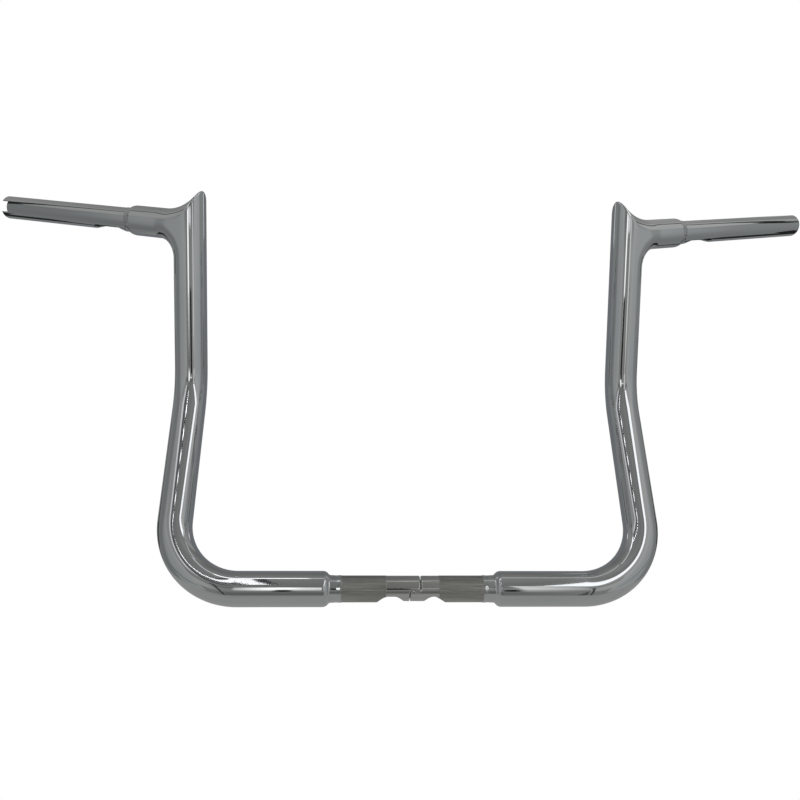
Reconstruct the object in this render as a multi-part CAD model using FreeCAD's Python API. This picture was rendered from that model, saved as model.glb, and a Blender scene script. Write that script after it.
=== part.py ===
import FreeCAD, Part
import math
import os

V = FreeCAD.Vector

# Driving dimensions in millimetres and degrees
SEAT_OD = 25.4
GRIP_OD = 25.4
STUB_WALL = 4.0
KNURL_START_X = 25.6
KNURL_RISE = 0.2
GRIP_WALL = 2.4
SPIGOT_DIA = 24.0
RISER_OD = 34.0
ARM_OD = 32.0
CAVITY_DIA = 27.2

# Centreline of one half, from the clamp centre outwards
RISER_X = 235.0
KINK_Y = 110.0
KINK_Z = 183.5
ARM_Z = 356.0
SWEEP = 23.7
CLIMB = 6.7
CORNER_BEND = 67.0
KINK_BEND = 90.0

# Stepped ends where the small tubes enter the big one
COLLAR_LIP = 0.3
STEP_HOLLOW_SHARE = 0.35
SEAT_COLLAR_X = 68.5
SEAT_STEP_FOOT_X = 78.5
SEAT_STEP_TOP_X = 86.5
SEAT_SOCKET_END_X = 96.0
ARM_SOCKET_START = 50.0
ARM_STEP_TOP = 67.5
ARM_STEP_FOOT = 77.5
ARM_COLLAR = 82.0
SWAGE_END = 85.0
THROTTLE_GRIP_END = 255.0
CLUTCH_GRIP_END = 267.0

# Pointed corner on top of each riser
UNDER_ARM_RADIUS = 23.0
NOSE_HEIGHT = 37.2
NOSE_ROUND = 1.5
TOP_HOLLOW_RADIUS = 50.0
CREST_RADIUS = 20.0
CREST_STEP = 0.15
HORN_INSET = 0.1

# Hooked joint between the halves, turned about the bar axis
CENTRE_TURN = 20.0
SEAM_TOP_X = 7.6
SEAM_LOW_X = -2.6
SEAM_GAP = 0.8
HOOK_HIGH = -0.8
HOOK_DEEP = -3.8
EDGE_BREAK = 0.5

# Wire openings
CENTRE_HOLE_WIDTH = 19.0
THROTTLE_HOLE_X = -20.5
THROTTLE_HOLE_LENGTH = 26.0
CLUTCH_HOLE_X = 21.0
CLUTCH_HOLE_LENGTH = 21.0
RELIEF_DEPTH = 1.2
GRIP_SLOT_START = 83.5
GRIP_SLOT_LENGTH = 42.0
GRIP_SLOT_WIDTH = 16.0
NOTCH_WIDTH = 11.5
NOTCH_DEPTH = 8.5

ORIGIN = V(0, 0, 0)
CORNER = V(RISER_X, 0, 0)
KINK = V(RISER_X, KINK_Y, KINK_Z)
ARM_ROOT = V(RISER_X, KINK_Y, ARM_Z)
UP = V(0, 0, 1)
OUT = V(1, 0, 0)
LEVEL_ARM = V(math.cos(math.radians(SWEEP)), math.sin(math.radians(SWEEP)), 0)
ARM = LEVEL_ARM * math.cos(math.radians(CLIMB)) + UP * math.sin(math.radians(CLIMB))
ARM_UP = UP * math.cos(math.radians(CLIMB)) - LEVEL_ARM * math.sin(math.radians(CLIMB))
ARM_SIDE = ARM.cross(ARM_UP)

# Where the hollow crest must leave the arm to reach the nose
NOSE = UP * NOSE_HEIGHT - LEVEL_ARM * (RISER_OD / 2)
NOSE_LIFT = NOSE.dot(ARM_UP) - ARM_OD / 2 - CREST_STEP
TOP_HOLLOW_START = NOSE.dot(ARM) + math.sqrt(NOSE_LIFT * (2 * TOP_HOLLOW_RADIUS - NOSE_LIFT))


def on_arm(distance):
    return ARM_ROOT + ARM * distance


def cylinder(start, end, radius):
    run = end - start
    return Part.makeCylinder(radius, run.Length, start, run)


def bent_wire(points, radii):
    # Straight runs joined by true bend arcs
    edges = []
    last = points[0]
    for before, here, after, radius in zip(points, points[1:], points[2:], radii):
        back = (before - here).normalize()
        ahead = (after - here).normalize()
        half = back.getAngle(ahead) / 2
        reach = radius / math.tan(half)
        start = here + back * reach
        end = here + ahead * reach
        toward = (back + ahead).normalize()
        middle = here + toward * (radius / math.sin(half) - radius)
        edges.append(Part.makeLine(last, start))
        edges.append(Part.Arc(start, middle, end).toShape())
        last = end
    edges.append(Part.makeLine(last, points[-1]))
    return Part.Wire(edges)


def swept_rod(wire, radius):
    first = wire.Edges[0]
    start = first.valueAt(first.FirstParameter)
    heading = first.tangentAt(first.FirstParameter)
    disc = Part.Face(Part.Wire(Part.makeCircle(radius, start, heading)))
    return wire.makePipe(disc)


def stepped_end(base, axis, collar, foot, top, small_radius, big_radius):
    # A collar that swells to the big tube in two tangent arcs
    side = axis.cross(UP).normalize()
    step = 1 if top > foot else -1
    inner = top + step * 6

    def at(distance, radius):
        return base + axis * distance + side * radius

    run = abs(top - foot)
    drop = big_radius - small_radius
    bend = (run * run + drop * drop) / (2 * drop)
    half_turn = math.asin(run / bend) / 2
    along = step * bend * math.sin(half_turn)
    lift = bend * (1 - math.cos(half_turn))
    hollow = STEP_HOLLOW_SHARE
    crown = 1 - hollow
    start = at(foot, small_radius)
    low = at(foot + along * hollow, small_radius + lift * hollow)
    middle = at(foot + (top - foot) * hollow, small_radius + drop * hollow)
    high = at(top - along * crown, big_radius - lift * crown)
    end = at(top, big_radius)
    profile = Part.Wire([
        Part.makeLine(at(collar, 0), at(collar, small_radius)),
        Part.makeLine(at(collar, small_radius), start),
        Part.Arc(start, low, middle).toShape(),
        Part.Arc(middle, high, end).toShape(),
        Part.makeLine(end, at(inner, big_radius)),
        Part.makeLine(at(inner, big_radius), at(inner, 0)),
        Part.makeLine(at(inner, 0), at(collar, 0)),
    ])
    return Part.Face(profile).revolve(base, axis, 360)


def rising_arc(start, radius, turn):
    # Arc in the plane of riser and arm that leaves the arm and bends upwards
    centre = start + ARM_UP * radius

    def at(angle):
        return centre - ARM_UP * (radius * math.cos(angle)) - ARM * (radius * math.sin(angle))

    return Part.Arc(at(0), at(turn / 2), at(turn)).toShape()


def crest_former():
    # Solid below the hollow crest: an arch section swept up the crest arc
    top = on_arm(TOP_HOLLOW_START) + ARM_UP * (ARM_OD / 2 + CREST_STEP)
    start = top - ARM_UP * CREST_RADIUS
    left = start - ARM_SIDE * CREST_RADIUS
    right = start + ARM_SIDE * CREST_RADIUS
    drop = ARM_UP * (2 * RISER_OD)
    arch = Part.Wire([
        Part.Arc(left, top, right).toShape(),
        Part.makeLine(right, right - drop),
        Part.makeLine(right - drop, left - drop),
        Part.makeLine(left - drop, left),
    ])
    arc = rising_arc(start, TOP_HOLLOW_RADIUS + CREST_RADIUS, math.radians(80))
    return Part.Wire(arc).makePipe(Part.Face(arch))


def pointed_top(join):
    # The riser's own tube, trimmed under the crest to a rounded point
    post = cylinder(join, ARM_ROOT + UP * (3 * RISER_OD), RISER_OD / 2)
    post = post.common(crest_former()).Solids[0]
    crest = [edge for edge in post.Edges if edge.BoundBox.ZMin > ARM_Z]
    return post.makeFillet(NOSE_ROUND, crest)


def riser_outside():
    riser_radius = RISER_OD / 2
    arm_radius = ARM_OD / 2
    join = ARM_ROOT - UP * (1.5 * RISER_OD)
    bends = bent_wire([V(SEAT_STEP_TOP_X, 0, 0), CORNER, KINK, join], [CORNER_BEND, KINK_BEND])
    body = swept_rod(bends, riser_radius).fuse(pointed_top(join))
    elbow = bent_wire([join, ARM_ROOT, on_arm(ARM_STEP_TOP)], [UNDER_ARM_RADIUS + arm_radius])
    body = body.fuse(swept_rod(elbow, arm_radius))
    horn_radius = arm_radius - HORN_INSET
    horn_bend = TOP_HOLLOW_RADIUS + horn_radius
    horn_turn = math.asin(TOP_HOLLOW_START / horn_bend)
    horn = Part.Wire([
        Part.makeLine(on_arm(ARM_SOCKET_START), on_arm(TOP_HOLLOW_START)),
        rising_arc(on_arm(TOP_HOLLOW_START), horn_bend, horn_turn),
    ])
    return body.fuse(swept_rod(horn, horn_radius))


def riser_tube():
    body = riser_outside()
    seat = stepped_end(ORIGIN, OUT, SEAT_COLLAR_X, SEAT_STEP_FOOT_X, SEAT_STEP_TOP_X,
                       SEAT_OD / 2 + COLLAR_LIP, RISER_OD / 2)
    grip = stepped_end(ARM_ROOT, ARM, ARM_COLLAR, ARM_STEP_FOOT, ARM_STEP_TOP,
                       GRIP_OD / 2 + COLLAR_LIP, ARM_OD / 2)
    body = body.fuse(seat).fuse(grip)
    inside = bent_wire([V(SEAT_SOCKET_END_X, 0, 0), CORNER, KINK, ARM_ROOT, on_arm(ARM_SOCKET_START)],
                       [CORNER_BEND, KINK_BEND, UNDER_ARM_RADIUS + ARM_OD / 2])
    body = body.cut(swept_rod(inside, CAVITY_DIA / 2))
    body = body.cut(cylinder(V(SEAT_COLLAR_X, 0, 0), V(SEAT_SOCKET_END_X, 0, 0), SPIGOT_DIA / 2))
    body = body.cut(cylinder(on_arm(ARM_SOCKET_START), on_arm(ARM_COLLAR), SPIGOT_DIA / 2))
    return body.removeSplitter()


def obround(centre, along, across, depth, length, width):
    # A slot-shaped cutter whose round ends lie along the tube
    half = along * ((length - width) / 2)
    side = across * (width / 2)
    end = along * (width / 2)
    outline = Part.Wire([
        Part.makeLine(centre - half + side, centre + half + side),
        Part.Arc(centre + half + side, centre + half + end, centre + half - side).toShape(),
        Part.makeLine(centre + half - side, centre - half - side),
        Part.Arc(centre - half - side, centre - half - end, centre - half + side).toShape(),
    ])
    return Part.Face(outline).extrude(depth)


def joint_outline(far, gap):
    # One side of the hooked seam, seen along the bar's depth
    span = SEAM_TOP_X - SEAM_LOW_X
    first = SEAM_TOP_X - span * 0.31
    second = SEAM_TOP_X - span * 0.65
    fall = HOOK_HIGH - HOOK_DEEP
    top_x = SEAM_TOP_X + gap
    low_x = SEAM_LOW_X + gap
    tall = 2 * SEAT_OD
    corners = [
        (far, tall),
        (top_x, tall),
        (top_x, HOOK_DEEP + fall * (top_x - first) / (SEAM_TOP_X - first)),
        (first, HOOK_DEEP),
        (second, HOOK_HIGH),
        (low_x, HOOK_DEEP + fall * (low_x - SEAM_LOW_X) / (second - SEAM_LOW_X)),
        (low_x, -tall),
        (far, -tall),
    ]
    points = [V(x, -tall, z) for x, z in corners]
    return Part.Face(Part.makePolygon(points + points[:1])).extrude(V(0, 2 * tall, 0))


def seam_edges(tube, gap):
    # The two square rims beside the seam, on the outside of the tube
    chosen = []
    for edge in tube.Edges:
        ends = edge.BoundBox
        flat = ends.XLength < 0.01
        at_seam = min(abs(ends.XMin - SEAM_TOP_X - gap), abs(ends.XMin - SEAM_LOW_X - gap)) < 0.01
        middle = edge.valueAt((edge.FirstParameter + edge.LastParameter) / 2)
        outside = abs(math.hypot(middle.y, middle.z) - SEAT_OD / 2 + KNURL_RISE) < 0.01
        if flat and at_seam and outside:
            chosen.append(edge)
    return chosen


def clamp_stub(side, hole_x, hole_length):
    gap = side * SEAM_GAP / 2
    near = V(-side * SEAT_OD, 0, 0)
    shoulder = V(side * SEAT_COLLAR_X, 0, 0)
    far = V(side * SEAT_SOCKET_END_X, 0, 0)
    bore = SEAT_OD / 2 - STUB_WALL
    tube = cylinder(near, shoulder, SEAT_OD / 2 - KNURL_RISE)
    tube = tube.common(joint_outline(side * 2 * SEAT_COLLAR_X, gap))
    tube = tube.makeChamfer(EDGE_BREAK, seam_edges(tube, gap))
    tube = tube.fuse(cylinder(V(side * KNURL_START_X, 0, 0), shoulder, SEAT_OD / 2))
    tube = tube.fuse(cylinder(shoulder, far, SPIGOT_DIA / 2))
    tube = tube.cut(cylinder(near, far, bore))
    down = V(0, 0, -SEAT_OD)
    hole = obround(V(hole_x, 0, -bore / 4), OUT, V(0, 1, 0), down, hole_length, CENTRE_HOLE_WIDTH)
    tube = tube.cut(hole)
    relief = Part.makeBox(2 * abs(hole_x), SEAT_OD, SEAT_OD,
                          V(-abs(hole_x), -SEAT_OD / 2, RELIEF_DEPTH - 1.5 * SEAT_OD))
    tube = tube.cut(relief)
    tube.rotate(ORIGIN, OUT, -CENTRE_TURN)
    return tube


def grip_tube(end):
    radius = GRIP_OD / 2
    root = on_arm(ARM_SOCKET_START)
    shoulder = on_arm(ARM_COLLAR)
    swage = on_arm(SWAGE_END)
    rod = cylinder(shoulder, on_arm(end), radius).fuse(cylinder(root, shoulder, SPIGOT_DIA / 2))
    rod = rod.cut(cylinder(swage, on_arm(end), radius - GRIP_WALL))
    rod = rod.cut(cylinder(root, swage, SPIGOT_DIA / 2 - GRIP_WALL))
    rims = [edge for edge in rod.Edges if (edge.CenterOfMass - on_arm(end)).Length < 0.01]
    rod = rod.makeChamfer(EDGE_BREAK, rims)
    middle = on_arm(GRIP_SLOT_START + GRIP_SLOT_LENGTH / 2) - ARM_UP * (radius / 3)
    slot = obround(middle, ARM, ARM_SIDE, ARM_UP * -GRIP_OD, GRIP_SLOT_LENGTH, GRIP_SLOT_WIDTH)
    return rod.cut(slot)


def notch_cutter(end):
    # A slot straight through the throttle end for the twist sensor
    start = on_arm(end - NOTCH_DEPTH)
    corner = start - ARM_SIDE * GRIP_OD - ARM_UP * (NOTCH_WIDTH / 2)
    face = Part.makePolygon([
        corner,
        corner + ARM * GRIP_OD,
        corner + ARM * GRIP_OD + ARM_UP * NOTCH_WIDTH,
        corner + ARM_UP * NOTCH_WIDTH,
        corner,
    ])
    return Part.Face(face).extrude(ARM_SIDE * (2 * GRIP_OD))


def mirrored(shape):
    return shape.mirror(ORIGIN, OUT)


def main():
    os.makedirs("parts", exist_ok=True)
    riser = riser_tube()
    throttle_grip = grip_tube(THROTTLE_GRIP_END).cut(notch_cutter(THROTTLE_GRIP_END))
    pieces = {
        "throttle_clamp_stub": clamp_stub(-1, THROTTLE_HOLE_X, THROTTLE_HOLE_LENGTH),
        "clutch_clamp_stub": clamp_stub(1, CLUTCH_HOLE_X, CLUTCH_HOLE_LENGTH),
        "throttle_riser_tube": mirrored(riser),
        "clutch_riser_tube": riser,
        "throttle_grip_tube": mirrored(throttle_grip),
        "clutch_grip_tube": grip_tube(CLUTCH_GRIP_END),
    }
    for name, shape in pieces.items():
        shape.exportStep("parts/" + name + ".step")


main()
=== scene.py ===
import math

import bmesh
import bpy
import numpy as np
from mathutils import Matrix


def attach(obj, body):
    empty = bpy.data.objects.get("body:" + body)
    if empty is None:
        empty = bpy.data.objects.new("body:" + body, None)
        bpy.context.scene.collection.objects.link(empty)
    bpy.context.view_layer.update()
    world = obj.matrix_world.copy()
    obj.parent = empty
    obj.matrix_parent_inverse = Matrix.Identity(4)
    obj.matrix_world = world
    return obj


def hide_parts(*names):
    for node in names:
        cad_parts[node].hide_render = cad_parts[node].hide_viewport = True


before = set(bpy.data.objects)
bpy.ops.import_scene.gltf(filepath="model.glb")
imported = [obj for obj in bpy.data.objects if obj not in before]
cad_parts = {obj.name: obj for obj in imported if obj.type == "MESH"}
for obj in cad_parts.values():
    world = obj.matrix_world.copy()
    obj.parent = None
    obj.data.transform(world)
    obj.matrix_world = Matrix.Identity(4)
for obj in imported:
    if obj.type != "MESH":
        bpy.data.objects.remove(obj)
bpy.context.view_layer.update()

# Sizes of the bar in millimetres and degrees, as in the part's own source
SEAT_RADIUS = 12.7
KNURL_RISE = 0.2
KNURL_START_X = 25.6
STUB_BORE = 8.7
GRIP_RADIUS = 12.7
GRIP_BORE = 10.3
SPIGOT_BORE = 9.6
RISER_RADIUS = 17.0
ARM_RADIUS = 16.0
RISER_X = 235.0
KINK_Y = 110.0
KINK_Z = 183.5
ARM_Z = 356.0
SWEEP = 23.7
CLIMB = 6.7
CORNER_BEND = 67.0
KINK_BEND = 90.0
COLLAR_LIP = 0.3
STEP_HOLLOW_SHARE = 0.35
SEAT_COLLAR_X = 68.5
SEAT_STEP_FOOT_X = 78.5
SEAT_STEP_TOP_X = 86.5
ARM_STEP_TOP = 67.5
ARM_STEP_FOOT = 77.5
ARM_COLLAR = 82.0
SWAGE_END = 85.0
THROTTLE_GRIP_END = 255.0
CLUTCH_GRIP_END = 267.0
UNDER_ARM_RADIUS = 23.0
NOSE_HEIGHT = 37.2
TOP_HOLLOW_RADIUS = 50.0
CENTRE_TURN = 20.0
SEAM_TOP_X = 7.6
SEAM_LOW_X = -2.6
SEAM_GAP = 0.8
HOOK_HIGH = -0.8
HOOK_DEEP = -3.8
HOOK_FIRST_SHARE = 0.31
HOOK_SECOND_SHARE = 0.65
EDGE_BREAK = 0.5
CENTRE_HOLE_WIDTH = 19.0
THROTTLE_HOLE_X = -20.5
THROTTLE_HOLE_LENGTH = 26.0
CLUTCH_HOLE_X = 21.0
CLUTCH_HOLE_LENGTH = 21.0
RELIEF_DEPTH = 1.2
GRIP_SLOT_START = 83.5
GRIP_SLOT_LENGTH = 42.0
GRIP_SLOT_WIDTH = 16.0
NOTCH_WIDTH = 11.5
NOTCH_DEPTH = 8.5

# How softly the edges of the visual skin are rounded
NOSE_ROUND = 3.0
THROTTLE_SEAM_ROUND = 1.2
CLUTCH_SEAM_ROUND = 1.6
CENTRE_HOLE_ROUND = 1.0
RELIEF_ROUND = 0.5
BORE_ROUND = 0.6
GRIP_SLOT_ROUND = 0.8
GRIP_END_ROUND = 0.9
NOTCH_ROUND = 0.7
LIP_ROUND_SHARE = 0.6
ARC_MIDDLE = 0.3

# The shallow waist of the sleeve by the clamp seat, and how far it keeps from the sleeve's ends
WAIST_DEPTH = 0.22
WAIST_MARGIN = 0.5

# How far a small tube's skin runs in under its collar, and a collar's rim into the tube
TUBE_TUCK = 0.3
LIP_TUCK = 0.2

# The knurl pressed into the clamp seats: straight ridges crossed by two sets of slanting cuts
KNURL_DEPTH = 0.18
KNURL_RIDGES = 48
KNURL_CUTS = 90
KNURL_CUT_PITCH = 0.9
KNURL_CUT_SHARE = 0.4
KNURL_FADE = 0.4

# Where the modelled corner, slot and seam patches meet the plain tubes
CORNER_JOIN_DROP = 58.0
CORNER_JOIN_ARM = 48.0
SLOT_JOIN = 128.0
TIP_JOIN = 12.0
KNURL_JOIN_X = 25.0
SEAM_JOIN_X = 38.0

# Fineness of the meshes, and the room left round each modelled patch
SIDES = 128
BEND_STEP = 1.5
CORNER_CELL = 0.8
SMALL_CELL = 0.42
SLOT_CELL = 0.5
KNURL_CELL = 0.27
KNURL_SIDES = 300
CORNER_MARGIN = 3.0
ARM_MARGIN = 8.0
TUBE_MARGIN = 2.0
GRIP_MARGIN = 1.5
SEAM_MARGIN = 4.0

# The plating: the darker and lighter ends of its colours, and its least and greatest roughness
BAR_COLOURS = ((0.60, 0.625, 0.645), (0.65, 0.67, 0.685))
BAR_ROUGHNESS = (0.03, 0.085)
BAND_COLOURS = ((0.56, 0.575, 0.57), (0.68, 0.69, 0.68))
BAND_ROUGHNESS = (0.05, 0.14)
SEAT_COLOURS = ((0.33, 0.335, 0.32), (0.49, 0.495, 0.475))
SEAT_ROUGHNESS = (0.24, 0.34)

# The camera, fitted to the photograph, in millimetres, radians and pixels
CAMERA_PLACE = (-49.0247, -698.1972, 251.4876)
CAMERA_YAW = 0.0489
CAMERA_PITCH = -0.0959
CAMERA_ROLL = 0.0167
FOCAL_PIXELS = 741.447
PHOTO_PIXELS = 800
SENSOR = 36.0
NEAREST_SEEN = 0.01

# The floor and the white background, in metres
FLOOR_REACH = 8.0
FLOOR_Z = -1.15
FLOOR_GREY = 0.9
SKY_FILL = 0.7

# The light tent round the bar, in metres: its walls, its cloth and the window at its upper back corners
TENT_SIDE = 1.05
TENT_FRONT = -1.35
TENT_BACK = 0.9
TENT_TOP = 0.76
TENT_LOW = -0.5
WINDOW_X = 0.85
WINDOW_LOW = 0.5
DIM_PATCH_X = 0.45
DIM_PATCH_Y = 0.29
WARM_CLOTH = (1.0, 0.99, 0.955)
SIDE_CLOTH = (0.98, 1.0, 0.975)
COOL_CLOTH = (0.97, 1.0, 1.04)
CLOTH_LOW = 0.9
CLOTH_HIGH = 1.1

# The lamps and dark things in the tent, and how bright each looks in the metal
LAMP_ROW_X = -0.28
LAMP_ROW_WIDTH = 0.1
LAMP_BAR_X = 0.52
LAMP_BAR_WIDTH = 0.21
LAMP_END_Y = -0.06
DOT_PITCH = 0.058
DOT_LENGTH = 0.026
DOT_WIDTH = 0.045
DOT_LEVEL = 3.6
RAIL_LEVEL = 0.06
WHITE_LEVEL = 1.8
PALE_LEVEL = 0.95
DIM_LEVEL = 0.12
BLACK_LEVEL = 0.02
END_FLAG_X = 0.535

# How far the inner cards stand in from the tent's walls, so that the right one is seen
DIM_PATCH_INSET = 0.005
SIDE_INSET = 0.01
LAMP_INSET = 0.012
SHADOW_INSET = 0.014
PANEL_INSET = 0.02
SPLIT_INSET = 0.03

# Directions and places that many shapes share
X, Y, Z = range(3)
MM_PER_M = 1000
ORIGIN = np.zeros(3)
OUT = np.array([1.0, 0.0, 0.0])
UP = np.array([0.0, 0.0, 1.0])
LEVEL_ARM = np.array([math.cos(math.radians(SWEEP)), math.sin(math.radians(SWEEP)), 0.0])
ARM = LEVEL_ARM * math.cos(math.radians(CLIMB)) + UP * math.sin(math.radians(CLIMB))
ARM_UP = UP * math.cos(math.radians(CLIMB)) - LEVEL_ARM * math.sin(math.radians(CLIMB))
ARM_SIDE = np.cross(ARM, ARM_UP)
ARM_ROOT = np.array([RISER_X, KINK_Y, ARM_Z])

# A direction that no tube runs along, from which the points of a ring are counted
RING_START = np.array([0.3, -0.8, 0.52])

# Which sockets of a mix node take the two ends and give the result
MIX_SOCKETS = {"FLOAT": (2, 3, 0), "RGBA": (6, 7, 2)}


class Skin:
    """Points, normals and faces of one piece, gathered patch by patch."""

    def __init__(self):
        self.points = []
        self.normals = []
        self.faces = []
        self.count = 0

    def add(self, points, normals, faces):
        self.points.append(points)
        self.normals.append(normals)
        self.faces.append(faces + self.count)
        self.count += len(points)

    def build(self, name, side):
        points = np.vstack(self.points) / MM_PER_M
        normals = np.vstack(self.normals)
        faces = np.vstack(self.faces)
        if side < 0:
            points, normals, faces = mirrored(points, normals, faces)
        mesh = bpy.data.meshes.new(name)
        mesh.from_pydata(points.tolist(), [], [tidy_face(f) for f in faces.tolist()])
        mesh.polygons.foreach_set("use_smooth", [True] * len(mesh.polygons))
        mesh.normals_split_custom_set_from_vertices(normals.tolist())
        piece = bpy.data.objects.new(name, mesh)
        bpy.context.scene.collection.objects.link(piece)
        return piece


def mirrored(points, normals, faces):
    """The same patch on the other half of the bar."""
    flip = np.array([-1.0, 1.0, 1.0])
    return points * flip, normals * flip, faces[:, ::-1]


def tidy_face(corners):
    # A three-cornered face is stored with one corner twice
    return list(dict.fromkeys(corners))


def unit(vectors):
    return vectors / np.linalg.norm(vectors, axis=-1, keepdims=True)


def tube_patch(stations, sides=SIDES):
    """Rings along a path. A station is a centre, a heading, a radius and the tilt of the normals.

    A tilt of 0 degrees faces outwards, 90 along the heading and 180 inwards.
    """
    angles = np.linspace(0, 2 * math.pi, sides, endpoint=False)[:, None]
    side = np.cross(stations[0][1], RING_START)
    points = []
    normals = []
    for centre, heading, radius, tilt in stations:
        side = unit(side - heading * (side @ heading))
        radial = np.cos(angles) * side + np.sin(angles) * np.cross(heading, side)
        points.append(centre + radius * radial)
        normals.append(math.cos(math.radians(tilt)) * radial + math.sin(math.radians(tilt)) * heading)
    here = np.arange(sides)
    after = (here + 1) % sides
    ring = np.stack([here, after, after + sides, here + sides], axis=1)
    faces = np.vstack([ring + sides * i for i in range(len(stations) - 1)])
    return np.vstack(points), np.vstack(normals), faces


def along(base, heading, profile):
    """Stations of a turned shape from its profile of distance, radius and tilt."""
    return [(base + heading * distance, heading, radius, tilt) for distance, radius, tilt in profile]


def swell(foot, top, small, big, count=9):
    """Profile of two tangent arcs from the small radius at foot to the big radius at top."""
    run = top - foot
    drop = big - small
    bend = (run * run + drop * drop) / (2 * drop)
    limit = math.asin(abs(run) / bend)
    way = math.copysign(1, run)
    hollow = bend * STEP_HOLLOW_SHARE
    crown = bend - hollow
    profile = []
    for turn in np.linspace(0, limit, count):
        tilt = -way * math.degrees(turn)
        profile.append((foot + way * hollow * math.sin(turn), small + hollow * (1 - math.cos(turn)), tilt))
    for turn in np.linspace(limit, 0, count)[1:]:
        tilt = -way * math.degrees(turn)
        profile.append((top - way * crown * math.sin(turn), big - crown * (1 - math.cos(turn)), tilt))
    return profile


def lip(end, inner, outer, way):
    """Profile of a collar's rounded rim, from the tube it grips to its outside."""
    soft = LIP_ROUND_SHARE * (outer - inner)
    middle = soft * ARC_MIDDLE
    return [
        (end, inner - LIP_TUCK, -90 * way),
        (end, outer - soft, -90 * way),
        (end + way * middle, outer - middle, -45 * way),
        (end + way * soft, outer, 0),
    ]


def waist(start, end, radius, count=13):
    """Profile of the shallow hollow pressed into a sleeve between two places of one radius."""
    profile = []
    for share in np.linspace(0, 1, count):
        turn = 2 * math.pi * share
        slope = -WAIST_DEPTH * math.pi * math.sin(turn) / (end - start)
        tilt = -math.degrees(math.atan(slope))
        sunk = WAIST_DEPTH * (1 - math.cos(turn)) / 2
        profile.append((start + (end - start) * share, radius - sunk, tilt))
    return profile


def bend_stations(before, here, after, radius, tube):
    """Stations round one bend of the tube."""
    ahead = unit(after - here)
    back = unit(before - here)
    half = math.acos(back @ ahead) / 2
    reach = radius / math.tan(half)
    centre = here + unit(back + ahead) * (radius / math.sin(half))
    spoke = here + back * reach - centre
    heading = -back
    total = math.pi - 2 * half
    stations = []
    for turn in np.linspace(0, total, max(2, round(math.degrees(total) / BEND_STEP))):
        place = centre + spoke * math.cos(turn) + heading * (radius * math.sin(turn))
        way = heading * math.cos(turn) - unit(spoke) * math.sin(turn)
        stations.append((place, way, tube, 0))
    return stations


def soft_max(a, b, width):
    """The greater of two fields, with their meeting edge rounded over a width."""
    overlap = np.maximum(width - np.abs(a - b), 0) / width
    return np.maximum(a, b) + overlap * overlap * width / 4


def field_slope(field, points):
    """Gradient of a field by small steps."""
    step = 0.02
    slope = np.empty_like(points)
    for axis in range(3):
        shift = np.zeros(3)
        shift[axis] = step
        slope[:, axis] = (field(points + shift) - field(points - shift)) / (2 * step)
    return slope


def settle(field, points, rounds=4):
    """Move points onto the zero level of a field."""
    least = 0.05
    for _ in range(rounds):
        slope = field_slope(field, points)
        size = np.maximum((slope * slope).sum(axis=1), least)
        points = points - slope * (field(points) / size)[:, None]
    return points


def cell_edges():
    """The twelve edges of a unit cell, as pairs of corners."""
    corners = [np.array(corner) for corner in np.ndindex(2, 2, 2)]
    return [(a, b) for a in corners for b in corners if sorted(b - a) == [0, 0, 1]]


def cell_points(values):
    """A point in each grid cell that the zero level passes, counted in cells, and the cells' numbers."""
    cells = np.array(values.shape) - 1
    total = np.zeros((*cells, 3))
    hits = np.zeros(cells)

    def at(corner):
        return values[tuple(slice(start, start + count) for start, count in zip(corner, cells))]

    for a, b in cell_edges():
        near = at(a)
        far = at(b)
        crossing = (near < 0) != (far < 0)
        share = np.where(crossing, near / np.where(crossing, near - far, 1), 0)
        spot = a + share[..., None] * (b - a)
        total += np.where(crossing[..., None], spot, 0)
        hits += crossing
    used = hits > 0
    number = np.full(cells, -1)
    number[used] = np.arange(used.sum())
    base = np.stack(np.nonzero(used), axis=1)
    return base + total[used] / hits[used][:, None], number


def cell_faces(inside, number):
    """A four-cornered face round each grid edge that the zero level crosses, facing outwards."""
    cells = number.shape
    faces = []
    for axis in range(3):
        first = (axis + 1) % 3
        second = (axis + 2) % 3
        near = np.take(inside, range(cells[axis]), axis=axis)
        far = np.take(inside, range(1, cells[axis] + 1), axis=axis)
        spots = np.stack(np.nonzero(near != far), axis=1)
        fits = (spots[:, first] > 0) & (spots[:, first] < cells[first])
        fits &= (spots[:, second] > 0) & (spots[:, second] < cells[second])
        spots = spots[fits]
        ring = []
        for i, j in ((-1, -1), (0, -1), (0, 0), (-1, 0)):
            shift = np.zeros(3, int)
            shift[first] = i
            shift[second] = j
            ring.append(number[tuple((spots + shift).T)])
        quads = np.stack(ring, axis=1)
        outward = near[tuple(spots.T)]
        quads[~outward] = quads[~outward][:, ::-1]
        faces.append(quads)
    return np.vstack(faces)


def cut_off(points, faces, planes):
    """Keep the part of a mesh behind each plane, given as a point and an outward normal."""
    mesh = bmesh.new()
    corners = [mesh.verts.new(p) for p in points]
    for face in faces:
        mesh.faces.new([corners[i] for i in face])
    for point, normal in planes:
        geometry = mesh.verts[:] + mesh.edges[:] + mesh.faces[:]
        bmesh.ops.bisect_plane(
            mesh, geom=geometry, dist=1e-5, plane_co=point, plane_no=normal, clear_outer=True
        )
    bmesh.ops.triangulate(mesh, faces=[f for f in mesh.faces if len(f.verts) > 4])
    mesh.verts.index_update()
    kept = np.array([v.co[:] for v in mesh.verts])
    quads = []
    for face in mesh.faces:
        corner = [v.index for v in face.verts]
        quads.append(corner if len(corner) == 4 else corner + corner[-1:])
    mesh.free()
    return kept, np.array(quads)


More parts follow.
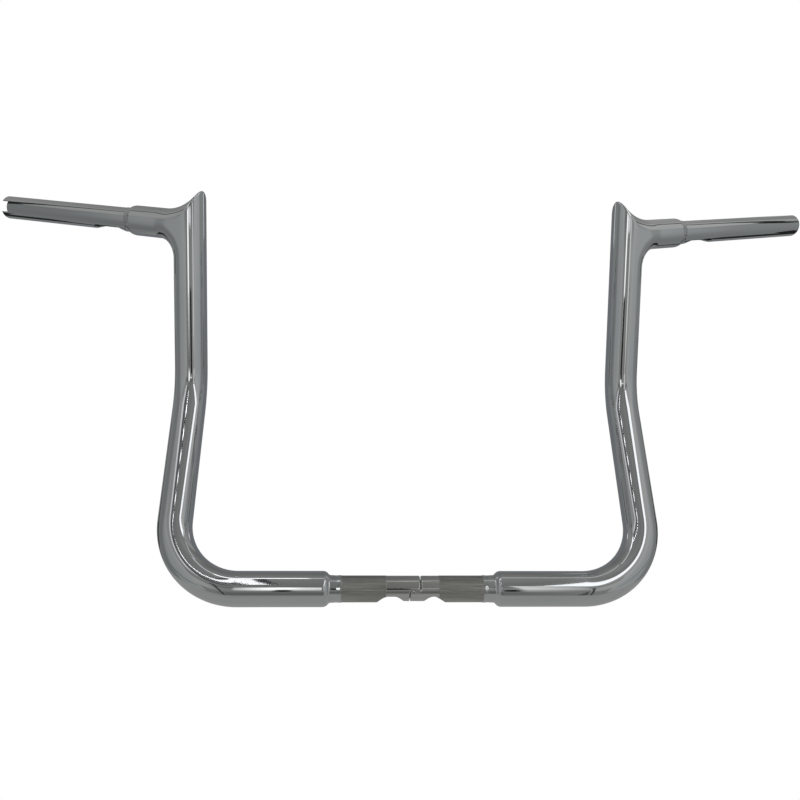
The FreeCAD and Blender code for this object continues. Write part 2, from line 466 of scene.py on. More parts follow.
def skin_of(field, low, high, cell, planes, place):
    """Smooth skin of a field's zero level, cut off at planes, as points, normals and faces.

    The field has axes of its own. Their origin and directions in the bar's frame are the place.
    """
    low = np.array(low)
    counts = np.ceil((np.array(high) - low) / cell).astype(int) + 1
    lines = [low[i] + cell * np.arange(counts[i]) for i in range(3)]
    grid = np.stack(np.meshgrid(*lines, indexing="ij"), axis=-1)
    values = field(grid.reshape(-1, 3)).reshape(counts)
    spots, number = cell_points(values)
    faces = cell_faces(values < 0, number)
    points = settle(field, low + cell * spots)
    points, faces = cut_off(points, faces, planes)
    points = settle(field, points, rounds=1)
    normals = unit(field_slope(field, points))
    origin, axes = place
    return origin + points @ axes, normals @ axes, faces


def hollow_line():
    """Where the crest's hollow starts along the arm."""
    nose = UP * NOSE_HEIGHT - LEVEL_ARM * RISER_RADIUS
    nose_lift = nose @ ARM_UP - ARM_RADIUS
    return nose @ ARM + math.sqrt(nose_lift * (2 * TOP_HOLLOW_RADIUS - nose_lift))


def fillet_middle():
    """Middle of the round under the arm, tangent to riser and arm."""
    level = RISER_RADIUS + UNDER_ARM_RADIUS
    lift = -ARM_RADIUS - UNDER_ARM_RADIUS
    climb = math.radians(CLIMB)
    return LEVEL_ARM * level + UP * (lift + level * math.sin(climb)) / math.cos(climb)


def corner_outline(points):
    """Signed distance to the corner's outline, seen square to riser and arm."""
    level = points @ LEVEL_ARM
    run = points @ ARM
    lift = points @ ARM_UP
    away = points - fillet_middle()
    hollow_middle = ARM_RADIUS + TOP_HOLLOW_RADIUS
    hollow = TOP_HOLLOW_RADIUS - np.hypot(run - hollow_line(), lift - hollow_middle)
    top = np.where(run < hollow_line(), hollow, lift - ARM_RADIUS)
    under = UNDER_ARM_RADIUS - np.hypot(away @ LEVEL_ARM, away @ UP)
    under = np.where(away @ ARM > 0, -lift - ARM_RADIUS, under)
    under = np.where(away @ UP < 0, level - RISER_RADIUS, under)
    return np.maximum(soft_max(-level - RISER_RADIUS, top, NOSE_ROUND), under)


def corner_field(points):
    """The pointed corner: riser and arm as one form, fully rounded from its outline to its middle."""
    arm_start = fillet_middle() @ ARM
    share = np.clip((arm_start - points @ ARM) / (arm_start - RISER_RADIUS), 0, 1)
    rounding = ARM_RADIUS + (RISER_RADIUS - ARM_RADIUS) * share * share * (3 - 2 * share)
    inward = np.maximum(corner_outline(points) + rounding, 0)
    return np.hypot(inward, points @ ARM_SIDE) - rounding


def obround_field(along_slot, across_slot, length, width):
    """Distance to a slot-shaped outline."""
    reach = np.maximum(np.abs(along_slot) - (length - width) / 2, 0)
    return np.hypot(reach, across_slot) - width / 2


def seam_field(x, z, side):
    """Signed distance to the hooked seam, negative on the half's own side."""
    beyond = 60.0
    gap = side * SEAM_GAP / 2
    width = SEAM_TOP_X - SEAM_LOW_X
    first = SEAM_TOP_X - width * HOOK_FIRST_SHARE
    second = SEAM_TOP_X - width * HOOK_SECOND_SHARE
    fall = HOOK_HIGH - HOOK_DEEP
    top_x = SEAM_TOP_X + gap
    low_x = SEAM_LOW_X + gap
    line = np.array([
        (top_x, beyond),
        (top_x, HOOK_DEEP + fall * (top_x - first) / (SEAM_TOP_X - first)),
        (first, HOOK_DEEP),
        (second, HOOK_HIGH),
        (low_x, HOOK_DEEP + fall * (low_x - SEAM_LOW_X) / (second - SEAM_LOW_X)),
        (low_x, -beyond),
    ])
    nearest = np.full(x.shape, math.inf)
    for a, b in zip(line, line[1:]):
        run = b - a
        share = np.clip(((x - a[0]) * run[0] + (z - a[1]) * run[1]) / (run @ run), 0, 1)
        nearest = np.minimum(nearest, np.hypot(x - a[0] - share * run[0], z - a[1] - share * run[1]))
    edge = np.interp(x, line[::-1, 0], line[::-1, 1])
    clutch_side = (x > top_x) | ((x > low_x) & (z < edge))
    return np.where(clutch_side == (side > 0), -nearest, nearest)


def seat_wall(points):
    """Outside of a clamp stub: the plain middle band, and the knurled seat that starts beside it."""
    x, y, z = points.T
    around = np.arctan2(z, y)
    slant = 2 * math.pi * x / KNURL_CUT_PITCH
    ridge = np.sin(KNURL_RIDGES * around)
    cuts = np.minimum(np.sin(KNURL_CUTS * around + slant), np.sin(KNURL_CUTS * around - slant))
    height = (ridge + KNURL_CUT_SHARE * cuts) / (1 + KNURL_CUT_SHARE)
    knurl = np.clip((np.abs(x) - KNURL_START_X) / KNURL_FADE + 0.5, 0, 1)
    sunk = KNURL_RISE * (1 - knurl) + KNURL_DEPTH * knurl * (1 - height) / 2
    return np.hypot(y, z) - SEAT_RADIUS + sunk


def stub_field(side, hole_x, hole_length):
    """The middle of one clamp stub: tube, hooked seam, wire opening and flat relief."""
    seam_round = CLUTCH_SEAM_ROUND if side > 0 else THROTTLE_SEAM_ROUND

    def field(points):
        x, y, z = points.T
        radius = np.hypot(y, z)
        shape = soft_max(seat_wall(points), seam_field(x, z, side), seam_round)
        hole = obround_field(x - hole_x, y, hole_length, CENTRE_HOLE_WIDTH)
        hole = np.maximum(hole, z)
        shape = soft_max(shape, -hole, CENTRE_HOLE_ROUND)
        relief = np.maximum(z + SEAT_RADIUS - RELIEF_DEPTH, np.abs(x) - abs(hole_x))
        shape = soft_max(shape, -relief, RELIEF_ROUND)
        return soft_max(shape, STUB_BORE - radius, BORE_ROUND)

    return field


def slot_field(points):
    """The root of a grip tube, in arm axes, with its wire slot below."""
    run, across, lift = points.T
    radius = np.hypot(across, lift)
    along_slot = run - GRIP_SLOT_START - GRIP_SLOT_LENGTH / 2
    slot = obround_field(along_slot, across, GRIP_SLOT_LENGTH, GRIP_SLOT_WIDTH)
    slot = np.maximum(slot, lift)
    bore = np.where(run < SWAGE_END, SPIGOT_BORE, GRIP_BORE)
    shape = soft_max(radius - GRIP_RADIUS, -slot, GRIP_SLOT_ROUND)
    return soft_max(shape, bore - radius, BORE_ROUND)


def notch_field(points):
    """The notched throttle end, in arm axes."""
    run, across, lift = points.T
    radius = np.hypot(across, lift)
    notch = np.maximum(THROTTLE_GRIP_END - NOTCH_DEPTH - run, np.abs(lift) - NOTCH_WIDTH / 2)
    shape = soft_max(radius - GRIP_RADIUS, GRIP_BORE - radius, BORE_ROUND)
    shape = soft_max(shape, run - THROTTLE_GRIP_END, GRIP_END_ROUND)
    return soft_max(shape, -notch, NOTCH_ROUND)


def bent_tube():
    """The riser from its clamp collar round both bends to the foot of the corner."""
    base_bend = np.array([RISER_X, 0.0, 0.0])
    kink = np.array([RISER_X, KINK_Y, KINK_Z])
    join = ARM_ROOT - UP * CORNER_JOIN_DROP
    sleeve = SEAT_RADIUS + COLLAR_LIP
    profile = lip(SEAT_COLLAR_X, SEAT_RADIUS, sleeve, 1)
    profile += waist(SEAT_COLLAR_X + WAIST_MARGIN, SEAT_STEP_FOOT_X - WAIST_MARGIN, sleeve)
    profile += swell(SEAT_STEP_FOOT_X, SEAT_STEP_TOP_X, sleeve, RISER_RADIUS)
    stations = along(ORIGIN, OUT, profile)
    stations += bend_stations(ORIGIN, base_bend, kink, CORNER_BEND, RISER_RADIUS)
    stations += bend_stations(base_bend, kink, join, KINK_BEND, RISER_RADIUS)
    stations.append((join, UP, RISER_RADIUS, 0))
    return tube_patch(stations)


def pointed_corner():
    """The corner of riser and arm, from its foot to its join with the arm."""
    turned = np.array([LEVEL_ARM, -ARM_SIDE, UP])

    def turned_field(points):
        return corner_field(points @ turned)

    ends = ((-UP, CORNER_JOIN_DROP), (ARM, CORNER_JOIN_ARM))
    planes = [(turned @ (heading * distance), turned @ heading) for heading, distance in ends]
    reach = RISER_RADIUS + CORNER_MARGIN
    low = (-reach, -reach, -CORNER_JOIN_DROP - CORNER_MARGIN)
    high = (CORNER_JOIN_ARM + ARM_MARGIN, reach, NOSE_HEIGHT + CORNER_MARGIN)
    return skin_of(turned_field, low, high, CORNER_CELL, planes, (ARM_ROOT, turned))


def stepped_arm():
    """The arm from the corner to the collar that grips the grip tube."""
    sleeve = GRIP_RADIUS + COLLAR_LIP
    profile = lip(ARM_COLLAR, GRIP_RADIUS, sleeve, -1)
    profile += swell(ARM_STEP_FOOT, ARM_STEP_TOP, sleeve, ARM_RADIUS)
    profile.append((CORNER_JOIN_ARM, ARM_RADIUS, 0))
    return tube_patch(along(ARM_ROOT, ARM, profile[::-1]))


def riser_skin():
    skin = Skin()
    skin.add(*bent_tube())
    skin.add(*pointed_corner())
    skin.add(*stepped_arm())
    return skin


def stub_skin(side, hole_x, hole_length):
    # Built for the clutch side or mirrored to it, so that one builder places both
    skin = Skin()
    turn = math.radians(CENTRE_TURN)
    turned = np.array([
        (1, 0, 0),
        (0, math.cos(turn), -math.sin(turn)),
        (0, math.sin(turn), math.cos(turn)),
    ])
    field = stub_field(side, hole_x, hole_length)
    reach = SEAT_RADIUS + TUBE_MARGIN
    outward = side * OUT
    inner_end = outward * KNURL_JOIN_X
    outer_end = outward * SEAM_JOIN_X
    middle = (-SEAM_TOP_X - SEAM_MARGIN, KNURL_JOIN_X + TUBE_MARGIN)
    knurl = (KNURL_JOIN_X - TUBE_MARGIN, SEAM_JOIN_X + TUBE_MARGIN)
    patches = (
        (middle, SMALL_CELL, [(inner_end, outward)]),
        (knurl, KNURL_CELL, [(inner_end, -outward), (outer_end, outward)]),
    )
    for ends, cell, planes in patches:
        first, last = sorted(side * x for x in ends)
        low = (first, -reach, -reach)
        high = (last, reach, reach)
        patch = skin_of(field, low, high, cell, planes, (ORIGIN, turned))
        skin.add(*(patch if side > 0 else mirrored(*patch)))
    inside = SEAT_COLLAR_X + TUBE_TUCK
    rings = np.linspace(SEAM_JOIN_X, inside, round((inside - SEAM_JOIN_X) / KNURL_CELL))
    seat = along(ORIGIN, OUT, [(x, SEAT_RADIUS, 0) for x in rings])
    points, _, faces = tube_patch(seat, KNURL_SIDES)
    points = settle(seat_wall, points @ turned.T)
    points[:, 0] = np.repeat(rings, KNURL_SIDES)
    normals = unit(field_slope(seat_wall, points))
    skin.add(points @ turned, normals @ turned, faces)
    bore = [(inside, STUB_BORE, 180), (SEAM_JOIN_X, STUB_BORE, 180)]
    skin.add(*tube_patch(along(ORIGIN, OUT, bore)))
    return skin


def grip_skin(end, notched):
    skin = Skin()
    place = (ARM_ROOT, np.array([ARM, -ARM_SIDE, ARM_UP]))
    reach = GRIP_RADIUS + GRIP_MARGIN
    inside = ARM_COLLAR - TUBE_TUCK
    low = (inside - TUBE_MARGIN, -reach, -reach)
    high = (SLOT_JOIN + TUBE_MARGIN, reach, reach)
    planes = [(OUT * inside, -OUT), (OUT * SLOT_JOIN, OUT)]
    skin.add(*skin_of(slot_field, low, high, SLOT_CELL, planes, place))
    if notched:
        tip = end - TIP_JOIN
        low = (tip - TUBE_MARGIN, -reach, -reach)
        high = (end + TUBE_MARGIN, reach, reach)
        skin.add(*skin_of(notch_field, low, high, SMALL_CELL, [(OUT * tip, -OUT)], place))
        outside = [(SLOT_JOIN, GRIP_RADIUS, 0), (tip, GRIP_RADIUS, 0)]
        bore = [(tip, GRIP_BORE, 180), (SLOT_JOIN, GRIP_BORE, 180)]
        skin.add(*tube_patch(along(ARM_ROOT, ARM, outside)))
        skin.add(*tube_patch(along(ARM_ROOT, ARM, bore)))
    else:
        middle = EDGE_BREAK / 4
        profile = [
            (SLOT_JOIN, GRIP_RADIUS, 0),
            (end - EDGE_BREAK, GRIP_RADIUS, 0),
            (end - middle, GRIP_RADIUS - middle, 45),
            (end, GRIP_RADIUS - EDGE_BREAK, 90),
            (end, GRIP_BORE + EDGE_BREAK, 90),
            (end - middle, GRIP_BORE + middle, 135),
            (end - EDGE_BREAK, GRIP_BORE, 180),
            (SLOT_JOIN, GRIP_BORE, 180),
        ]
        skin.add(*tube_patch(along(ARM_ROOT, ARM, profile)))
    return skin


class Nodes:
    """Short way to make and join shader nodes."""

    def __init__(self, tree):
        self.tree = tree
        tree.nodes.clear()

    def new(self, kind, **values):
        node = self.tree.nodes.new(kind)
        for key, value in values.items():
            setattr(node, key, value)
        return node

    def feed(self, socket, source):
        if isinstance(source, bpy.types.NodeSocket):
            self.tree.links.new(source, socket)
        else:
            socket.default_value = source

    def maths(self, operation, *sources):
        node = self.new("ShaderNodeMath", operation=operation)
        for socket, source in zip(node.inputs, sources):
            self.feed(socket, source)
        return node.outputs[0]

    def noise(self, vector, scale, detail):
        node = self.new("ShaderNodeTexNoise")
        self.feed(node.inputs["Vector"], vector)
        node.inputs["Scale"].default_value = scale
        node.inputs["Detail"].default_value = detail
        return node.outputs["Fac"]

    def spread(self, value, low, high, from_low=0.0, from_high=1.0):
        node = self.new("ShaderNodeMapRange")
        for socket, source in zip(node.inputs, (value, from_low, from_high, low, high)):
            self.feed(socket, source)
        return node.outputs[0]

    def ramp(self, value, stops):
        """A value that passes through the stops, each a place and a level."""
        first, last = stops[0][0], stops[-1][0]
        node = self.new("ShaderNodeValToRGB")
        self.feed(node.inputs[0], self.spread(value, 0.0, 1.0, first, last))
        elements = node.color_ramp.elements
        while len(elements) < len(stops):
            elements.new(0.5)
        for element, (where, level) in zip(elements, stops):
            element.position = (where - first) / (last - first)
            element.color = (level, level, level, 1)
        return node.outputs[0]

    def mix(self, kind, factor, *ends):
        """Blend between two numbers or two colours."""
        first, second, result = MIX_SOCKETS[kind]
        node = self.new("ShaderNodeMix", data_type=kind)
        self.feed(node.inputs[0], factor)
        for number, end in zip((first, second), ends):
            self.feed(node.inputs[number], end)
        return node.outputs[result]

    def colours(self, factor, ends):
        first, second = ends
        return self.mix("RGBA", factor, (*first, 1), (*second, 1))

    def bump(self, height, strength, distance):
        node = self.new("ShaderNodeBump")
        self.feed(node.inputs["Strength"], strength)
        node.inputs["Distance"].default_value = distance
        self.feed(node.inputs["Height"], height)
        return node.outputs["Normal"]

    def stretched(self, vector, scale):
        node = self.new("ShaderNodeMapping")
        self.feed(node.inputs["Vector"], vector)
        node.inputs["Scale"].default_value = scale
        return node.outputs["Vector"]

    def place(self):
        return self.new("ShaderNodeTexCoord").outputs["Object"]

    def axes(self, vector):
        node = self.new("ShaderNodeSeparateXYZ")
        self.feed(node.inputs[0], vector)
        return node.outputs

    def glow(self, strength, tint=(1, 1, 1)):
        """A surface that shines by itself."""
        node = self.new("ShaderNodeEmission")
        node.inputs["Color"].default_value = (*tint, 1)
        self.feed(node.inputs["Strength"], strength)
        return node.outputs[0]

    def show(self, shader):
        """Make a shader the material's surface."""
        output = self.new("ShaderNodeOutputMaterial")
        self.feed(output.inputs["Surface"], shader)


def new_material(name):
    material = bpy.data.materials.new(name)
    material.use_nodes = True
    return material, Nodes(material.node_tree)


def metal(nodes):
    """Plain metal shader, ready for its own colour, roughness and bump."""
    shader = nodes.new("ShaderNodeBsdfPrincipled")
    shader.inputs["Metallic"].default_value = 1.0
    nodes.show(shader.outputs["BSDF"])
    return shader


def bar_chrome():
    """Mirror-polished plating with a faint clouding, haze and ripple."""
    material, nodes = new_material("bar_chrome_plating")
    shader = metal(nodes)
    place = nodes.place()
    cloud = nodes.noise(place, scale=18.0, detail=3.0)
    haze = nodes.noise(place, scale=160.0, detail=4.0)
    ripple = nodes.noise(place, scale=14.0, detail=0.0)
    nodes.feed(shader.inputs["Base Color"], nodes.colours(cloud, BAR_COLOURS))
    nodes.feed(shader.inputs["Roughness"], nodes.spread(haze, *BAR_ROUGHNESS))
    nodes.feed(shader.inputs["Normal"], nodes.bump(ripple, strength=0.05, distance=0.0004))
    return material


def clamp_chrome():
    """Plating of the clamp stubs: a turned and polished middle band, and worn knurled seats."""
    material, nodes = new_material("clamp_chrome_knurl")
    shader = metal(nodes)
    place = nodes.place()
    outward = nodes.maths("ABSOLUTE", nodes.axes(place)[X])
    fade_start = (KNURL_START_X - KNURL_FADE) / MM_PER_M
    fade_end = (KNURL_START_X + KNURL_FADE) / MM_PER_M
    seat = nodes.spread(outward, 0.0, 1.0, fade_start, fade_end)
    streak = nodes.noise(nodes.stretched(place, (60.0, 800.0, 800.0)), scale=1.0, detail=3.0)
    scuff = nodes.noise(nodes.stretched(place, (25.0, 420.0, 420.0)), scale=1.0, detail=2.0)
    cloud = nodes.noise(place, scale=60.0, detail=3.0)
    polished = nodes.colours(streak, BAND_COLOURS)
    worn = nodes.colours(nodes.spread(scuff, 0.0, 1.0, 0.3, 0.7), SEAT_COLOURS)
    nodes.feed(shader.inputs["Base Color"], nodes.mix("RGBA", seat, polished, worn))
    band_rough = nodes.spread(streak, *BAND_ROUGHNESS)
    seat_rough = nodes.spread(cloud, *SEAT_ROUGHNESS)
    nodes.feed(shader.inputs["Roughness"], nodes.mix("FLOAT", seat, band_rough, seat_rough))
    lathe = nodes.maths("MULTIPLY", streak, 0.12)
    nodes.feed(shader.inputs["Normal"], nodes.bump(lathe, strength=0.6, distance=0.00012))
    return material


def seen_white(nodes):
    """One for rays that show the background: straight from the camera, mirrored or through glass."""
    light_path = nodes.new("ShaderNodeLightPath")
    shown = nodes.maths("MAXIMUM", light_path.outputs["Is Camera Ray"], light_path.outputs["Is Glossy Ray"])
    return nodes.maths("MAXIMUM", shown, light_path.outputs["Is Transmission Ray"])


def white_world():
    world = bpy.data.worlds.new("white_studio")
    bpy.context.scene.world = world
    world.use_nodes = True
    nodes = Nodes(world.node_tree)
    sky = nodes.new("ShaderNodeBackground")
    sky.inputs["Color"].default_value = (1, 1, 1, 1)
    nodes.feed(sky.inputs["Strength"], nodes.spread(seen_white(nodes), SKY_FILL, 1.0))
    output = nodes.new("ShaderNodeOutputWorld")
    nodes.feed(output.inputs["Surface"], sky.outputs[0])


def floor_material():
    """Matt grey for the light it gives back, and white where it is seen."""
    material, nodes = new_material("pale_floor")
    matt = nodes.new("ShaderNodeBsdfDiffuse")
    matt.inputs["Color"].default_value = (FLOOR_GREY, FLOOR_GREY, FLOOR_GREY, 1)
    mix = nodes.new("ShaderNodeMixShader")
    for socket, source in zip(mix.inputs, (seen_white(nodes), matt.outputs[0], nodes.glow(1.0))):
        nodes.feed(socket, source)
    nodes.show(mix.outputs[0])
    return material


def wall_material(name, ramps, strength=1.0, tint=WARM_CLOTH):
    """Soft tent cloth. Each ramp gives an axis and how bright the wall is at places along it."""
    material, nodes = new_material(name)
    place = nodes.place()
    axes = nodes.axes(place)
    uneven = nodes.noise(place, scale=2.2, detail=2.0)
    level = nodes.spread(uneven, CLOTH_LOW * strength, CLOTH_HIGH * strength)
    for axis, stops in ramps:
        level = nodes.maths("MULTIPLY", level, nodes.ramp(axes[axis], stops))
    nodes.show(nodes.glow(level, tint))
    return material


def card_material(name, level):
    material, nodes = new_material(name)
    nodes.show(nodes.glow(level))
    return material


def dotted_material(name):
    """A dark rail with a row of small lamps along its middle."""
    material, nodes = new_material(name)
    axes = nodes.axes(nodes.place())
    aside = nodes.maths("ABSOLUTE", nodes.maths("SUBTRACT", axes[X], LAMP_ROW_X))
    in_row = nodes.maths("LESS_THAN", aside, DOT_WIDTH / 2)
    step = nodes.maths("FRACT", nodes.maths("DIVIDE", axes[Y], DOT_PITCH))
    in_dot = nodes.maths("LESS_THAN", step, DOT_LENGTH / DOT_PITCH)
    dots = nodes.maths("MULTIPLY", in_row, in_dot)
    nodes.show(nodes.glow(nodes.spread(dots, RAIL_LEVEL, DOT_LEVEL)))
    return material


def stage_mesh(name, points, faces, material):
    mesh = bpy.data.meshes.new(name)
    mesh.from_pydata(points, [], faces)
    mesh.materials.append(material)
    thing = bpy.data.objects.new(name, mesh)
    bpy.context.scene.collection.objects.link(thing)
    return thing


def mirrored_only(thing):
    """The thing shows in the metal but not in the picture, and neither lights nor shades anything."""
    thing.visible_camera = False
    thing.visible_shadow = False
    thing.visible_diffuse = False


def card(name, axis, place, first, second, material):
    """A flat card across one axis, from its lowest to its highest corner on the other two."""
    others = [i for i in (X, Y, Z) if i != axis]
    points = []
    for u, v in ((0, 0), (1, 0), (1, 1), (0, 1)):
        point = [place] * 3
        point[others[0]] = first[u]
        point[others[1]] = second[v]
        points.append(point)
    mirrored_only(stage_mesh(name, points, [(0, 1, 2, 3)], material))


def span(middle, width):
    return middle - width / 2, middle + width / 2


def seam(name, normal, stations, material):
    """A dark ribbon on a wall, through places with a width each."""
    places = [np.array(place) for place, _ in stations]
    last = len(places) - 1
    points = []
    for i, (_, width) in enumerate(stations):
        heading = places[min(i + 1, last)] - places[max(i - 1, 0)]
        side = unit(np.cross(heading, normal)) * width / 2
        points += [(places[i] - side).tolist(), (places[i] + side).tolist()]
    faces = [(2 * i, 2 * i + 1, 2 * i + 3, 2 * i + 2) for i in range(last)]
    mirrored_only(stage_mesh(name, points, faces, material))


def tent_walls():
    """Grey cloth on all sides, open to the white background at the upper back corners."""
    depth = (TENT_FRONT, TENT_BACK)
    width = (-TENT_SIDE, TENT_SIDE)
    height = (TENT_LOW, TENT_TOP)
    top = wall_material("tent_top", (
        (X, (
            (-TENT_SIDE, 0.40), (-0.75, 0.44), (-0.5, 0.38), (-0.3, 0.30), (0.0, 0.27),
            (0.15, 0.33), (0.35, 0.28), (0.66, 0.58), (TENT_SIDE, 0.56),
        )),
        (Y, (
            (TENT_FRONT, 0.72), (-0.8, 0.76), (-0.5, 0.8), (-0.2, 0.9), (0.1, 0.95),
            (0.3, 0.78), (0.5, 0.7), (TENT_BACK, 0.62),
        )),
    ))
    card("tent_top", Z, TENT_TOP, width, depth, top)
    dim = wall_material("tent_top_dim", (
        (X, ((DIM_PATCH_X, 0.42), (0.68, 0.31), (TENT_SIDE, 0.30))),
    ))
    dim_across = (DIM_PATCH_X, TENT_SIDE)
    dim_deep = (DIM_PATCH_Y, TENT_BACK)
    card("tent_top_dim", Z, TENT_TOP - DIM_PATCH_INSET, dim_across, dim_deep, dim)
    low = wall_material("tent_floor", (
        (Y, ((TENT_FRONT, 0.24), (-0.8, 0.35), (0.5, 0.37), (TENT_BACK, 0.28))),
    ))
    card("tent_floor", Z, TENT_LOW, width, depth, low)
    left = wall_material("tent_left", (
        (Y, (
            (TENT_FRONT, 0.40), (-0.4, 0.36), (-0.25, 0.32), (-0.1, 0.232), (0.05, 0.21),
            (0.45, 0.26), (TENT_BACK, 0.27),
        )),
        (Z, ((TENT_LOW, 0.95), (0.2, 1.0), (TENT_TOP, 1.1))),
    ), tint=SIDE_CLOTH)
    card("tent_left", X, -TENT_SIDE, depth, height, left)
    right = wall_material("tent_right", (
        (Y, (
            (TENT_FRONT, 0.44), (-0.5, 0.41), (-0.2, 0.4), (0.0, 0.28), (0.2, 0.26),
            (0.45, 0.27), (TENT_BACK, 0.28),
        )),
        (Z, ((TENT_LOW, 0.9), (0.2, 0.97), (0.5, 1.1), (TENT_TOP, 1.22))),
    ), tint=SIDE_CLOTH)
    card("tent_right", X, TENT_SIDE, depth, height, right)
    front = wall_material("tent_front", (
        (X, (
            (-TENT_SIDE, 0.40), (-0.8, 0.42), (-0.62, 0.32), (-0.5, 0.27), (0.0, 0.28),
            (0.25, 0.26), (0.6, 0.44), (TENT_SIDE, 0.44),
        )),
        (Z, ((TENT_LOW, 0.55), (-0.1, 0.6), (0.1, 1.0), (0.5, 1.0), (0.66, 0.6), (TENT_TOP, 0.5))),
    ))
    card("tent_front", Y, TENT_FRONT, width, height, front)
    back = wall_material("tent_back", (
        (X, ((-TENT_SIDE, 0.24), (-0.55, 0.21), (0.55, 0.21), (TENT_SIDE, 0.24))),
    ), tint=COOL_CLOTH)
    card("tent_back_low", Y, TENT_BACK, width, (TENT_LOW, WINDOW_LOW), back)
    card("tent_back_high", Y, TENT_BACK, (-WINDOW_X, WINDOW_X), (WINDOW_LOW, TENT_TOP), back)


def tent_lamps():
    """The lit things that show as bright lines: two rows overhead and panels beside the camera."""
    under = TENT_TOP - LAMP_INSET
    lamp_row = span(LAMP_ROW_X, LAMP_ROW_WIDTH)
    card("lamp_row", Z, under, lamp_row, (-0.72, LAMP_END_Y), dotted_material("lamp_row"))
    # Plain lamps overhead: span across, span in depth, level
    overhead = (
        ("lamp_bar", span(LAMP_BAR_X, LAMP_BAR_WIDTH), (-1.05, LAMP_END_Y), 1.5),
        ("pale_strip", (-0.68, -0.53), (-1.0, LAMP_END_Y), 0.8),
        ("cross_lamp_left", (-0.45, -0.15), (-0.05, 0.02), 1.8),
        ("cross_lamp_middle", (-0.15, 0.08), (-0.05, 0.02), 0.7),
        ("cross_lamp_right", (0.08, 0.41), (0.03, 0.08), 0.7),
    )
    for name, across, deep, level in overhead:
        card(name, Z, under, across, deep, card_material(name, level))
    # Plain upright lamps: place in depth, span across, span in height, level
    upright = (
        ("front_strip", TENT_FRONT + PANEL_INSET, (-0.15, 0.25), (0.54, 0.6), 0.9),
        ("pale_back", TENT_BACK - PANEL_INSET, (-0.1, 0.1), (TENT_LOW, -0.25), 0.65),
    )
    for name, depth, across, high, level in upright:
        card(name, Y, depth, across, high, card_material(name, level))
    white = wall_material("white_panel", (
        (X, ((-0.42, 0.3), (-0.36, 0.65), (-0.30, 1.0), (-0.25, 1.0), (-0.215, 0.68), (-0.15, 0.62))),
        (Z, ((0.14, 0.15), (0.34, 0.8), (0.5, 1.0), (0.66, 0.9), (0.74, 0.4))),
    ), strength=WHITE_LEVEL)
    card("white_panel", Y, TENT_FRONT + PANEL_INSET, (-0.42, -0.15), (0.14, 0.74), white)
    pale = wall_material("pale_panel", (
        (X, ((0.29, 1.0), (0.36, 0.8), (0.45, 0.45))),
        (Z, ((-0.02, 0.35), (0.15, 0.6), (0.26, 1.0), (0.62, 1.0))),
    ), strength=PALE_LEVEL)
    card("pale_panel", Y, -0.85, (0.29, 0.45), (-0.02, 0.62), pale)


def tent_shadows():
    """The dark things: posts, seams and hems of the tent, a flag by each grip's end and the camera."""
    black = card_material("black_card", BLACK_LEVEL)
    dim = card_material("dim_card", DIM_LEVEL)
    under = TENT_TOP - SHADOW_INSET
    wall = TENT_SIDE - SIDE_INSET
    card("lamp_row_edge", Z, under, (-0.51, -0.37), (-1.0, LAMP_END_Y), dim)
    # Upright black cards: place in depth, span across, span in height
    upright = (
        ("camera_body", -0.75, (-0.12, 0.05), (0.14, 0.33)),
        ("panel_split", TENT_FRONT + SPLIT_INSET, (-0.28, -0.235), (0.02, 0.34)),
        ("right_split", -0.86, (0.245, 0.28), (0.015, 0.22)),
        ("left_post", -1.0, (-0.515, -0.485), (-0.4, 0.6)),
        ("right_post", -1.0, (0.52, 0.55), (-0.4, 0.4)),
        ("right_post_inner", -1.0, (0.46, 0.475), (-0.4, 0.25)),
    )
    for name, depth, across, high in upright:
        card(name, Y, depth, across, high, black)
    # The seam overhead: distance out, depth, width on the left and on the right
    overhead = (
        (0.45, 0.13, (0.015, 0.015)),
        (0.60, 0.13, (0.025, 0.03)),
        (0.68, 0.155, (0.04, 0.04)),
        (0.78, 0.17, (0.055, 0.048)),
        (0.87, 0.155, (0.07, 0.052)),
        (0.98, 0.12, (0.07, 0.055)),
        (1.05, 0.08, (0.065, 0.06)),
    )
    # The seam that runs on down the corner of the wall: depth, height, width
    corner = (
        (0.08, TENT_TOP, 0.07),
        (0.08, 0.62, 0.05),
    )
    # The post on each side wall: depth, height, width
    posts = (
        (0.68, 0.24, 0.08),
        (0.62, 0.10, 0.12),
        (0.49, 0.00, 0.22),
        (0.50, -0.07, 0.25),
        (0.57, -0.12, 0.24),
        (0.63, -0.18, 0.18),
        (0.68, -0.28, 0.13),
        (0.78, -0.44, 0.10),
    )
    # The hem on each side wall, before the bar: depth, height on the left and on the right, width
    front_hems = (
        (-0.14, (-0.18, -0.05), 0.008),
        (-0.26, (-0.21, -0.07), 0.035),
        (-0.54, (-0.26, -0.11), 0.03),
        (-1.1, (-0.27, -0.14), 0.03),
    )
    sides = (
        (-1, "left", 0.0, black),
        (1, "right", 0.03, dim),
    )
    for column, (side, name, shift, hem) in enumerate(sides):
        ribbon = [((side * x, y + shift, under), widths[column]) for x, y, widths in overhead]
        seam(name + "_top_seam", UP, ribbon, black)
        ribbon = [((side * wall, y + shift, z), width) for y, z, width in corner]
        seam(name + "_corner_seam", OUT, ribbon, black)
        ribbon = [((side * wall, y, z + shift), width) for y, z, width in posts]
        seam(name + "_side_post", OUT, ribbon, black)
        card(name + "_end_flag", X, side * END_FLAG_X, (0.207, 0.247), (0.325, 0.354), black)
        ribbon = [((side * wall, y, heights[column]), width) for y, heights, width in front_hems]
        seam(name + "_front_hem", OUT, ribbon, hem)


def studio():
    white_world()
    corners = ((-1, -1), (1, -1), (1, 1), (-1, 1))
    square = [(FLOOR_REACH * x, FLOOR_REACH * y, FLOOR_Z) for x, y in corners]
    stage_mesh("floor", square, [(0, 1, 2, 3)], floor_material())
    tent_walls()
    tent_lamps()
    tent_shadows()


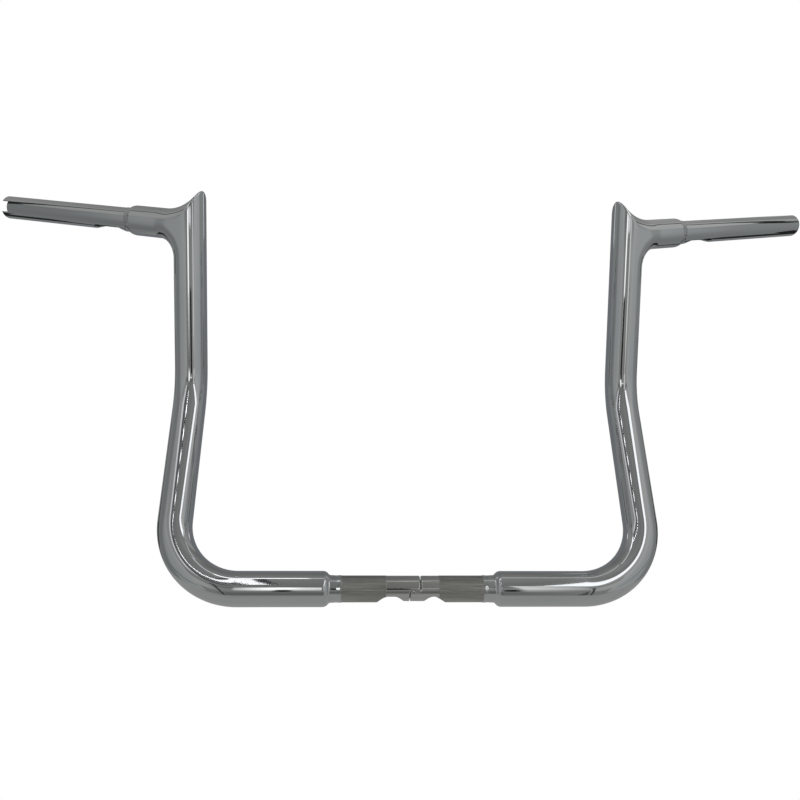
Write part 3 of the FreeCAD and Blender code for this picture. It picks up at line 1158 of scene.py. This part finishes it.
def camera():
    """The photograph's own viewpoint."""
    forward = np.array([
        math.sin(CAMERA_YAW) * math.cos(CAMERA_PITCH),
        math.cos(CAMERA_YAW) * math.cos(CAMERA_PITCH),
        math.sin(CAMERA_PITCH),
    ])
    level_right = np.array([math.cos(CAMERA_YAW), -math.sin(CAMERA_YAW), 0.0])
    level_up = np.cross(level_right, forward)
    right = math.cos(CAMERA_ROLL) * level_right + math.sin(CAMERA_ROLL) * level_up
    up = math.cos(CAMERA_ROLL) * level_up - math.sin(CAMERA_ROLL) * level_right
    data = bpy.data.cameras.new("camera")
    data.sensor_fit = "HORIZONTAL"
    data.sensor_width = SENSOR
    data.lens = FOCAL_PIXELS * SENSOR / PHOTO_PIXELS
    data.clip_start = NEAREST_SEEN
    viewer = bpy.data.objects.new("camera", data)
    bpy.context.scene.collection.objects.link(viewer)
    turn = np.eye(4)
    turn[:3, 0] = right
    turn[:3, 1] = up
    turn[:3, 2] = -forward
    turn[:3, 3] = np.array(CAMERA_PLACE) / MM_PER_M
    viewer.matrix_world = Matrix(turn.tolist())
    bpy.context.scene.camera = viewer


def add_piece(skin, name, side, node, material):
    piece = skin.build(name, side)
    piece.data.materials.append(material)
    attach(piece, "root")
    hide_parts(node)


def handlebar():
    """Both halves of the bar, each a riser tube, a clamp stub and a grip tube."""
    plating = bar_chrome()
    seat = clamp_chrome()
    riser = riser_skin()
    halves = (
        (-1, "throttle", THROTTLE_HOLE_X, THROTTLE_HOLE_LENGTH, THROTTLE_GRIP_END),
        (1, "clutch", CLUTCH_HOLE_X, CLUTCH_HOLE_LENGTH, CLUTCH_GRIP_END),
    )
    for side, half, hole_x, hole_length, grip_end in halves:
        add_piece(riser, half + "_riser", side, half + "_riser_tube", plating)
        stub = stub_skin(side, hole_x, hole_length)
        add_piece(stub, half + "_stub", side, half + "_clamp_stub", seat)
        grip = grip_skin(grip_end, side < 0)
        add_piece(grip, half + "_grip", side, half + "_grip_tube", plating)


bpy.context.scene.view_settings.view_transform = "Standard"
camera()
studio()
handlebar()
